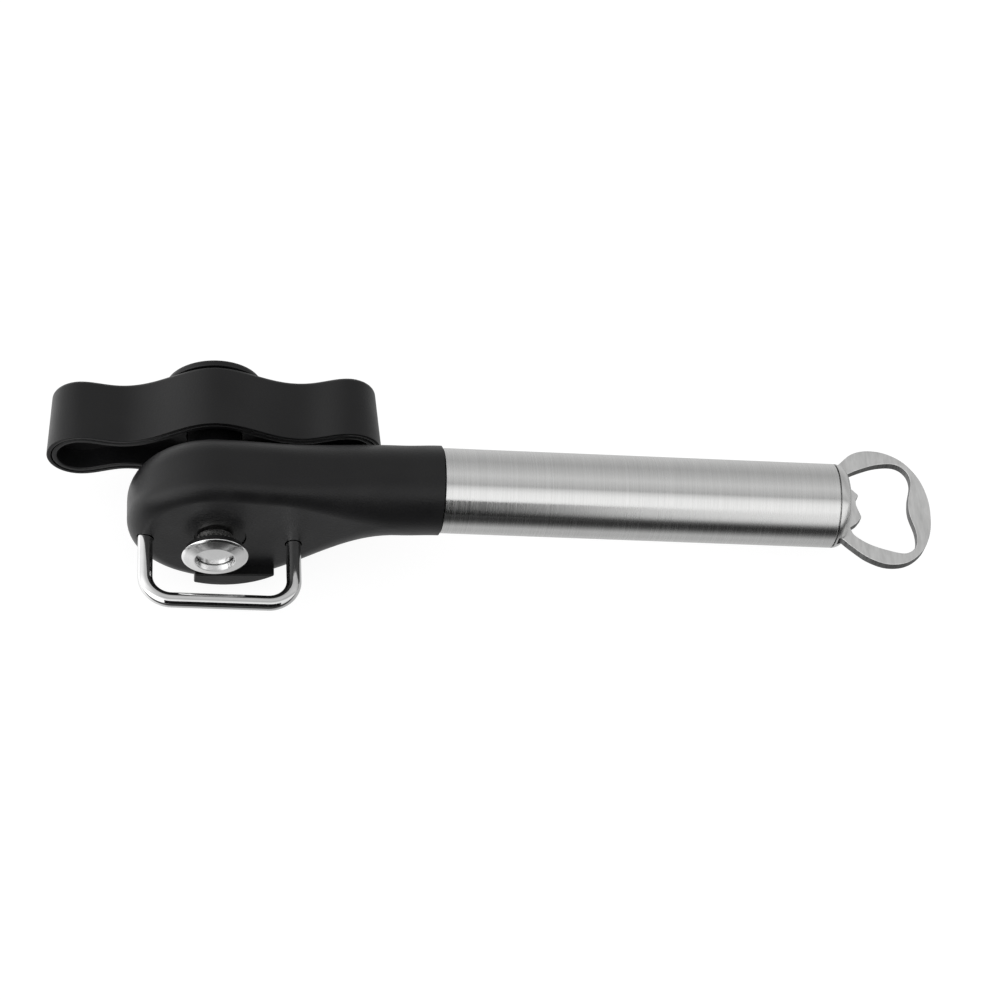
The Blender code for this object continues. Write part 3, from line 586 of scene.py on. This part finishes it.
def head_columns(pairs, count):
    """For each side of each pair, the column of 3D points from the bottom to the top."""
    outline = [near for near, far in pairs] + [far for near, far in reversed(pairs[:-1])]
    total = len(outline)
    head, neck = head_profile(count), neck_profile(count)
    columns = []
    for i, (x, z) in enumerate(outline):
        before, after = outline[max(i - 1, 0)], outline[min(i + 1, total - 1)]
        along = Vector((after[0] - before[0], after[1] - before[1])).normalized()
        inward = Vector((-along.y, along.x))
        part = smooth_step((x - BLEND_START_X) / (NECK_START_X - BLEND_START_X))
        if part == 1.0:
            inward = Vector((0.0, -math.copysign(1.0, z)))
        column = []
        for (inset_h, y_h), (inset_n, y_n) in zip(head, neck):
            inset = inset_h + (inset_n - inset_h) * part
            column.append((x + inward.x * inset, y_h + (y_n - y_h) * part, z + inward.y * inset))
        columns.append(column)
    return columns


def head_skin():
    """The outer skin of head and neck, lofted between the round head and the round neck."""
    pairs = plan_stations()
    work = bmesh.new()
    grid = [[work.verts.new(Vector(p) * MM) for p in column] for column in head_columns(pairs, 12)]
    grid_skin(work, grid, False)
    last, top = len(grid) - 1, len(grid[0]) - 1
    tip = len(pairs) - 2
    for level in (0, top):
        for i in range(tip):
            near_ends = grid[i][level], grid[i + 1][level]
            far_ends = grid[last - i - 1][level], grid[last - i][level]
            work.faces.new((*near_ends, *far_ends))
        work.faces.new((grid[tip][level], grid[tip + 1][level], grid[tip + 2][level]))
    work.faces.new(grid[0] + grid[last][::-1])
    bmesh.ops.remove_doubles(work, verts=work.verts, dist=2e-5)
    bmesh.ops.dissolve_degenerate(work, edges=work.edges, dist=1e-6)
    return finish_mesh("head", work)


def make_head():
    centre = (BUSH_X, 0.0, SPINDLE_Z)
    stud = (STUD_PLACE[0], 0.0, STUD_PLACE[1])
    cutters = [cylinder(RECESS_R, RECESS_FLOOR, HEAD_TOP + 2.0, at=centre, sides=FINE),
               cylinder(BUSH_BORE_R, HEAD_BOTTOM - 2.0, RECESS_FLOOR + 1.0, at=centre),
               cylinder(STUD_HOLE_R, HEAD_BOTTOM - 1.0, STUD_HOLE_TOP, at=stud, sides=24)]
    for x in BAIL_X:
        leg = (x, 0.0, BAIL_Z)
        cutters.append(cylinder(WIRE_R + WIRE_PLAY, HEAD_BOTTOM - 3.0, BAIL_TOP_Y + 0.3, at=leg, sides=40))
    mesh = carve(head_skin(), cutters)
    piece("head_shell", mesh, "housing", LOOKS["black_plastic"], "black_plastic", "head_housing")


def make_fence():
    """The raised fence on the head's underside, its foot sunk into the head and its edges rounded over."""
    left, right = FENCE_X

    def angle_at(x):
        return -math.acos((x - FAR_X) / FENCE_OUTER_R)
    outer = arc((FAR_X, FAR_Z), FENCE_OUTER_R, angle_at(left), angle_at(right), 24)
    outline = eased(outer + [(right, FENCE_WALL_Z[1]), (left, FENCE_WALL_Z[0])], 0.6, closed=True, steps=3)
    height = HEAD_BOTTOM + FENCE_SUNK - FENCE_BOTTOM
    mesh = plate("rim_fence", [[(x, -z) for x, z in outline]], height, 0.35)
    turn = Matrix.Rotation(math.radians(-90.0), 4, "X")
    mesh.transform(turn @ Matrix.Translation((0.0, 0.0, (FENCE_BOTTOM + height / 2) * MM)))
    piece("rim_fence", mesh, "housing", LOOKS["black_plastic"], "black_plastic")


def make_bail():
    """A square-cornered loop of bright wire whose legs go up into the head."""
    left, right = BAIL_X
    bend, low = BAIL_BEND_R, BAIL_BAR_Y
    route = [(left, BAIL_TOP_Y), (left, low + bend + 4.0)]
    route += arc((left + bend, low + bend), bend, math.pi, 1.5 * math.pi, 18)
    route += arc((right - bend, low + bend), bend, -0.5 * math.pi, 0.0, 18)
    route += [(right, low + bend + 4.0), (right, BAIL_TOP_Y)]
    curve = bpy.data.curves.new("wire_bail", "CURVE")
    curve.dimensions = "3D"
    curve.bevel_depth = WIRE_R * MM
    curve.bevel_resolution = 10
    curve.use_fill_caps = True
    spline = curve.splines.new("POLY")
    spline.points.add(len(route) - 1)
    for point, (x, y) in zip(spline.points, route):
        point.co = (x * MM, y * MM, BAIL_Z * MM, 1.0)
    piece("wire_bail", curve_mesh("wire_bail", curve), "housing", LOOKS["chromed_wire"], "chromed_wire",
          "guide_bail", flat=False)


# ---- knob ---------------------------------------------------------------------------------


def knob_half_width(s):
    """Half the width of the knob's open side at a distance s from its middle."""
    if s <= KNOB_WAIST_S:
        swell = 0.5 + 0.5 * math.cos(math.pi * s / KNOB_WAIST_S)
        return KNOB_WAIST + (KNOB_HUB - KNOB_WAIST) * swell
    end_s = KNOB_HALF - KNOB_END
    swell = 0.5 - 0.5 * math.cos(math.pi * (s - KNOB_WAIST_S) / (end_s - KNOB_WAIST_S))
    return KNOB_WAIST + (KNOB_END - KNOB_WAIST) * swell


def knob_outline(inset):
    """The knob's plan, pulled in on every side by an inset."""
    end_s = KNOB_HALF - KNOB_END
    quarter = [(end_s * i / 40, knob_half_width(end_s * i / 40)) for i in range(41)]
    quarter += arc((end_s, 0.0), KNOB_END, math.pi / 2, 0.0, 18)[1:]
    right = quarter[1:]
    loop = quarter + [(s, -w) for s, w in reversed(right[:-1])] + [(0.0, -KNOB_HUB)]
    loop += [(-s, -w) for s, w in right] + [(-s, w) for s, w in reversed(right[:-1])]
    result = []
    for i, here in enumerate(loop):
        before, after = loop[i - 1], loop[(i + 1) % len(loop)]
        along = Vector((after[0] - before[0], after[1] - before[1])).normalized()
        result.append((here[0] + along.y * inset, here[1] - along.x * inset))
    return result


def knob_levels():
    """(inset, height) over the rounded top edge, down the outside, round the lip and up the inside."""
    levels = arc((KNOB_TOP_ROUND, KNOB_TOP - KNOB_TOP_ROUND), KNOB_TOP_ROUND, math.pi / 2, math.pi, 8)
    lip = KNOB_LIP_ROUND
    levels += arc((lip, KNOB_BOTTOM + lip), lip, math.pi, 1.5 * math.pi, 5)
    levels += arc((KNOB_WALL - 0.1, KNOB_BOTTOM + 0.1), 0.1, 1.5 * math.pi, 2 * math.pi, 2)
    return levels + [(KNOB_WALL, KNOB_TOP - KNOB_ROOF)]


def liner_levels():
    """(inset, height) of the tray: up the outside from the floor's top, over the rim and down inside."""
    outer = KNOB_WALL + LINER_GAP
    inner = outer + LINER_WALL
    round_r = 0.25
    levels = [(outer, LINER_FLOOR + LINER_WALL)]
    levels += arc((outer + round_r, KNOB_BOTTOM + round_r), round_r, math.pi, 1.5 * math.pi, 4)
    levels += arc((inner - round_r, KNOB_BOTTOM + round_r), round_r, 1.5 * math.pi, 2 * math.pi, 4)
    return levels + [(inner, LINER_FLOOR)]


def knob_skin(levels):
    """A closed skin over the knob's plan, through (inset, height) levels."""
    work = bmesh.new()
    rings = []
    for inset, y in levels:
        lean = KNOB_DRAFT * (y - KNOB_BOTTOM) / (KNOB_TOP - KNOB_BOTTOM)
        rings.append([work.verts.new((x * MM, y * MM, -w * MM)) for x, w in knob_outline(lean + inset)])
    grid_skin(work, rings, True)
    work.faces.new(rings[0])
    work.faces.new(rings[-1])
    return finish_mesh("knob", work)


def make_knob():
    """The hollow shell with its boss for the spindle, and the liner that closes it from below."""
    turned = Matrix.Translation(Vector(SPINDLE) * MM) @ Matrix.Rotation(KNOB_YAW, 4, "Y")
    boss = cylinder(KNOB_BOSS_R, KNOB_BOSS_BOTTOM, KNOB_TOP - 1.0, sides=64)
    cutters = [cylinder(HEX_R, KNOB_BOSS_BOTTOM - 1.0, HEX_TOP, sides=6),
               cylinder(SCREW_HOLE_R, HEX_TOP - 1.0, POCKET_FLOOR + 1.0, sides=32),
               cylinder(POCKET_R, POCKET_FLOOR, KNOB_TOP + 1.0, sides=64)]
    mesh = carve(knob_skin(knob_levels()), cutters, joined=[boss])
    mesh.transform(turned)
    piece("knob_shell", mesh, "drive", LOOKS["black_plastic"], "black_plastic", "knob_body")
    hole_top = LINER_FLOOR + LINER_WALL + 1.0
    boss_hole = cylinder(KNOB_BOSS_R + LINER_GAP, LINER_FLOOR - 1.0, hole_top, sides=64)
    mesh = carve(knob_skin(liner_levels()), [boss_hole])
    mesh.transform(turned)
    piece("knob_tray", mesh, "drive", LOOKS["black_plastic"], "black_plastic", "knob_liner")


def make_knob_cap():
    low, high = CAP_Y
    stem, tip = POCKET_R - 0.3, CAP_STEM_BOTTOM
    button = [(0.0, high), (CAP_R, high - 0.1), (CAP_R, low), (stem, low), (stem, tip), (0.0, tip)]
    mesh = lathe("knob_cap", eased(button, 0.7), at=SPINDLE)
    piece("knob_button", mesh, "drive", LOOKS["cap_plastic"], "cap_plastic", "knob_cap")


# ---- cutting parts ------------------------------------------------------------------------


def make_disc():
    """The cutting disc: a ground edge, a shallow cone and a hub hollowed out for the rivet's head."""
    high = DISC_TOP[1]
    outer = [DISC_TOP, (DISC_R, DISC_EDGE_Y), DISC_BEVEL, DISC_HUB, (DISH_R, DISC_HUB[1])]
    inner = [(DISH_FLOOR_R, DISH_FLOOR), (DISC_BORE_R, DISH_FLOOR), (DISC_BORE_R, high)]
    mesh = lathe("disc", eased(outer + inner, 0.16, closed=True, steps=4), at=SPINDLE, angle=50.0)
    piece("cutter_plate", mesh, "cutter", LOOKS["polished_disc"], "polished_disc", "cutting_disc")


def make_rivet():
    low, high = RIVET_Y
    profile = eased([(0.0, low), (RIVET_R, low), (RIVET_R, high), (SHANK_R, high),
                     (SHANK_R, SHANK_TOP), (0.0, SHANK_TOP)], 0.15)
    mesh = lathe("rivet", profile, at=SPINDLE)
    piece("rivet_head", mesh, "drive", LOOKS["polished_disc"], "polished_disc", "retaining_rivet")


def make_feed_gear():
    """The toothed feed wheel, its teeth chamfered top and bottom."""
    low, high = WHEEL_Y
    chamfer = 0.25
    levels = [(chamfer, low), (0.0, low + chamfer), (0.0, high - chamfer), (chamfer, high)]
    work = bmesh.new()
    rings = []
    for inset, y in levels:
        ring = []
        for i in range(TEETH):
            for share, depth in ((0.0, TOOTH_DEPTH), (0.24, TOOTH_DEPTH), (0.46, 0.0), (0.78, 0.0)):
                a = 2 * math.pi * (i + share) / TEETH
                r = WHEEL_R - depth - inset
                rim = Vector((r * math.cos(a), y, r * math.sin(a) + SPINDLE_Z))
                ring.append(work.verts.new((rim + Vector((SPINDLE_X, 0.0, 0.0))) * MM))
        rings.append(ring)
    grid_skin(work, rings, True)
    work.faces.new(rings[0])
    work.faces.new(rings[-1])
    shell = finish_mesh("gear", work, angle=25.0)
    mesh = carve(shell, [cylinder(2.6, low - 1.0, high + 1.0, at=SPINDLE)], angle=25.0)
    piece("feed_gear", mesh, "drive", LOOKS["wheel_steel"], "wheel_steel", "feed_wheel")


# ---- handle and bottle opener -------------------------------------------------------------


def make_tube():
    start, end = TUBE_X
    inner = TUBE_R - TUBE_WALL
    profile = eased([(TUBE_R, end), (TUBE_R, start), (inner, start), (inner, end)], 0.2, closed=True)
    mesh = lathe("tube", profile, along="X", sides=160)
    piece("tube_skin", mesh, "housing", LOOKS["brushed_tube"], "brushed_tube", "handle_tube")


def make_tube_end():
    """The domed plug that closes the tube, with the slot that the opener plate comes out of."""
    skirt = TUBE_R - TUBE_WALL - 0.3
    round_centre = END_X - END_ROUND
    dome = arc((TUBE_R - END_ROUND, round_centre), END_ROUND, math.pi / 2, 0.0, 12)
    profile = [(0.0, END_X)] + dome + [(skirt, round_centre), (skirt, END_SKIRT_X), (0.0, END_SKIRT_X)]
    deep, wide = 0.5 * PLATE_T + 0.25, 0.5 * TANG_WIDTH + 0.3
    cutters = [block((END_SKIRT_X - 1.0, -wide, -deep), (END_X + 1.0, wide, deep)),
               block((END_MOUTH_X, -TUBE_R - 1.0, -deep), (END_X + 1.0, TUBE_R + 1.0, deep))]
    mesh = carve(lathe("end", profile, along="X", sides=160), cutters)
    piece("end_dome", mesh, "housing", LOOKS["brushed_tube"], "brushed_tube", "tube_end_cap")


def opener_outline():
    """The outside of the opener plate: a short tang, shoulders and a slightly lopsided ring."""
    half = 0.5 * TANG_WIDTH
    shoulder_x = END_MOUTH_X + 0.3
    ring = [(shoulder_x, -SHOULDER_Y), (154.1, -12.1), (157.9, -15.1), (162.6, -16.8), (167.6, -16.1),
            (171.7, -12.8), (174.2, -7.6), (OPENER_TIP_X, -2.0), (174.7, 3.2), (173.0, 8.5),
            (169.6, 12.9), (165.2, 15.3), (160.6, 15.8), (156.8, 14.7), (153.6, 11.9),
            (shoulder_x, SHOULDER_Y)]
    tang = [(shoulder_x, half), (TANG_START_X, half), (TANG_START_X, -half), (shoulder_x, -half)]
    return smooth_through(ring) + tang


def opener_hole():
    """The kidney-shaped hole, with the lifting lip and its two teeth on the handle side."""
    rim = [(154.5, 8.3), (157.6, 9.9), (162.5, 11.7), (167.2, 12.1), (170.0, 10.3), (170.9, 6.9),
           (169.8, 2.0), (169.6, -2.0), (170.7, -7.2), (170.3, -11.2), (167.6, -13.4), (163.0, -12.7),
           (158.5, -11.1), (155.2, -8.8), (154.3, -6.7)]
    lower_tooth = [(156.1, -5.4), (157.5, -3.6)]
    notch = [(156.8, -1.4), (156.4, 0.0), (156.5, 1.5)]
    upper_tooth = (157.4, 2.7)
    lip = eased([rim[-1], *lower_tooth, *notch, upper_tooth, (155.2, 5.0), rim[0]], 0.5, steps=3)
    return smooth_through(rim) + lip[1:-1]


def make_opener():
    mesh = plate("opener", [opener_outline(), opener_hole()], PLATE_T, PLATE_EDGE)
    pin = cylinder(TANG_PIN_R, -3.0, 3.0, sides=32)
    across = Matrix.Rotation(math.radians(90.0), 4, "X")
    pin.transform(Matrix.Translation((TANG_PIN_X * MM, 0.0, 0.0)) @ across)
    mesh = carve(mesh, [pin])
    ring = piece("opener_ring", mesh, "housing", LOOKS["opener_steel"], "opener_steel", "bottle_opener")
    # the second material paints shade onto the plate's cut edges
    ring.data.materials.append(cut_edge_painted_shade())
    flat_way = POSE.to_3x3() @ Vector((0.0, 0.0, 1.0))
    for face in ring.data.polygons:
        if abs(face.normal.dot(flat_way)) < 0.8:
            face.material_index = 1


def dress_cad_nodes():
    """Give every CAD node that stays visible the procedural look of its material slot."""
    slots = {part["node"]: part["material_slot"] for part in frame["record"]["subparts"]}
    for name, node in frame["nodes"].items():
        node.data.materials.clear()
        node.data.materials.append(LOOKS[slots[name]])


# ---- studio -------------------------------------------------------------------------------


FLOOR_DROP = 0.4


def make_floor():
    """A pale floor just under the tool, bright enough to read as white paper."""
    work = bmesh.new()
    bmesh.ops.create_grid(work, x_segments=4, y_segments=4, size=3.0)
    mesh = finish_mesh("floor", work)
    floor = bpy.data.objects.new("floor", mesh)
    bpy.context.scene.collection.objects.link(floor)
    floor.location = (0.0, 0.0, -FLOOR_DROP * MM)
    look = Look("floor", (0.22, 0.22, 0.22), 0.9, specular=0.0)
    look.shader.inputs["Emission Color"].default_value = WHITE
    look.shader.inputs["Emission Strength"].default_value = 0.9
    mesh.materials.append(look.material)
    floor.visible_glossy = False


# A dark card beside the tool, seen only by the gloss, for the dark crease under the head (tool frame, mm).
FLAG_X = (-48.0, 110.0)
FLAG_TOP = (-128.0, 86.0)
FLAG_FOOT = (-153.5, -21.0)


def make_flag():
    """The dark card, which throws no shadow and which neither the camera nor soft light sees."""
    work = bmesh.new()
    left, right = FLAG_X
    corners = [(left, *FLAG_TOP), (right, *FLAG_TOP), (right, *FLAG_FOOT), (left, *FLAG_FOOT)]
    work.faces.new([work.verts.new(Vector(corner) * MM) for corner in corners])
    mesh = finish_mesh("dark_card", work)
    mesh.transform(POSE)
    card = bpy.data.objects.new("dark_card", mesh)
    bpy.context.scene.collection.objects.link(card)
    mesh.materials.append(Look("dark_card", (0.01, 0.01, 0.01), 0.9, specular=0.0).material)
    card.visible_camera = False
    card.visible_diffuse = False
    card.visible_shadow = False
    card.visible_transmission = False


# What the gloss sees round the tool, as (degrees from straight up towards +Y, brightness). The levels
# were worked back from the light and dark bands measured across the tube in the reference picture.
SURROUND = ((-180.0, 0.62), (-161.0, 0.58), (-143.0, 0.60), (-135.0, 0.40), (-124.0, 0.11), (-117.0, 0.04),
            (-105.0, 0.035), (-98.0, 0.15), (-92.0, 0.54), (-87.0, 0.93), (-79.0, 1.13), (-62.0, 1.20),
            (-50.0, 1.28), (-32.0, 1.21), (-19.0, 0.87), (-14.0, 0.55), (-9.0, 0.64), (15.0, 0.83),
            (38.0, 0.66), (60.0, 0.54), (108.0, 0.75), (150.0, 0.62))
SIDE_LIGHT = 1.5
SOFT_LIGHT = 0.75


def make_surroundings():
    """White for the camera, even for soft light, and a banded studio for reflections."""
    world = bpy.data.worlds.new("studio")
    bpy.context.scene.world = world
    world.use_nodes = True
    nodes, links = world.node_tree.nodes, world.node_tree.links
    nodes.clear()

    def math_node(operation, first, second=None):
        node = nodes.new("ShaderNodeMath")
        node.operation = operation
        for socket, value in zip(node.inputs, (first, second)):
            if isinstance(value, (int, float)):
                socket.default_value = value
            elif value is not None:
                links.new(value, socket)
        return node.outputs["Value"]

    direction = nodes.new("ShaderNodeSeparateXYZ")
    links.new(nodes.new("ShaderNodeTexCoord").outputs["Generated"], direction.inputs["Vector"])
    angle = math_node("ARCTAN2", direction.outputs["Y"], direction.outputs["Z"])
    share = math_node("MULTIPLY_ADD", angle, 1.0 / (2.0 * math.pi))
    share.node.inputs[2].default_value = 0.5
    ramp = nodes.new("ShaderNodeValToRGB")
    ramp.color_ramp.interpolation = "LINEAR"
    links.new(share, ramp.inputs["Fac"])
    stops = ramp.color_ramp.elements
    peak = max(level for degrees, level in SURROUND)
    for i, (degrees, level) in enumerate(SURROUND):
        stop = stops[i] if i < 2 else stops.new(1.0)
        stop.position = degrees / 360.0 + 0.5
        stop.color = (level / peak, level / peak, level / peak, 1.0)
    side = math_node("MAXIMUM", math_node("MULTIPLY", direction.outputs["X"], -SIDE_LIGHT), 0.0)
    gloss = math_node("MULTIPLY", math_node("ADD", side, 1.0), peak)

    rays = nodes.new("ShaderNodeLightPath")
    glossy = nodes.new("ShaderNodeBackground")
    links.new(ramp.outputs["Color"], glossy.inputs["Color"])
    links.new(gloss, glossy.inputs["Strength"])
    soft = nodes.new("ShaderNodeBackground")
    soft.inputs["Color"].default_value = WHITE
    soft.inputs["Strength"].default_value = SOFT_LIGHT
    seen = nodes.new("ShaderNodeBackground")
    seen.inputs["Color"].default_value = WHITE
    first = nodes.new("ShaderNodeMixShader")
    links.new(rays.outputs["Is Glossy Ray"], first.inputs["Fac"])
    links.new(soft.outputs[0], first.inputs[1])
    links.new(glossy.outputs[0], first.inputs[2])
    second = nodes.new("ShaderNodeMixShader")
    links.new(rays.outputs["Is Camera Ray"], second.inputs["Fac"])
    links.new(first.outputs[0], second.inputs[1])
    links.new(seen.outputs[0], second.inputs[2])
    links.new(second.outputs[0], nodes.new("ShaderNodeOutputWorld").inputs["Surface"])


def make_camera():
    """The camera looks at the near side from under the knob, a little from the left."""
    spindle_up = Vector(SPINDLE_SEEN).normalized()
    along = Vector(HANDLE_SEEN)
    along = (along - spindle_up * along.dot(spindle_up)).normalized()
    near = spindle_up.cross(along)
    right, up, away = (Vector((along[i], spindle_up[i], near[i])) for i in range(3))
    turn = Matrix((right, up, -away)).transposed().to_4x4()
    place = -(right * ORIGIN_OFF_AXIS[0] + up * ORIGIN_OFF_AXIS[1] + away * CAMERA_DISTANCE) * MM
    data = bpy.data.cameras.new("camera")
    data.lens = LENS
    data.sensor_width = SENSOR
    data.clip_start = NEAREST_SEEN
    data.clip_end = FARTHEST_SEEN
    camera = bpy.data.objects.new("camera", data)
    bpy.context.scene.collection.objects.link(camera)
    camera.matrix_world = POSE @ Matrix.Translation(place) @ turn
    bpy.context.scene.camera = camera


bpy.context.scene.view_settings.view_transform = "Standard"
make_camera()
dress_cad_nodes()
make_head()
make_fence()
make_bail()
make_knob()
make_knob_cap()
make_disc()
make_rivet()
make_feed_gear()
make_tube()
make_tube_end()
make_opener()
make_flag()
make_floor()
make_surroundings()
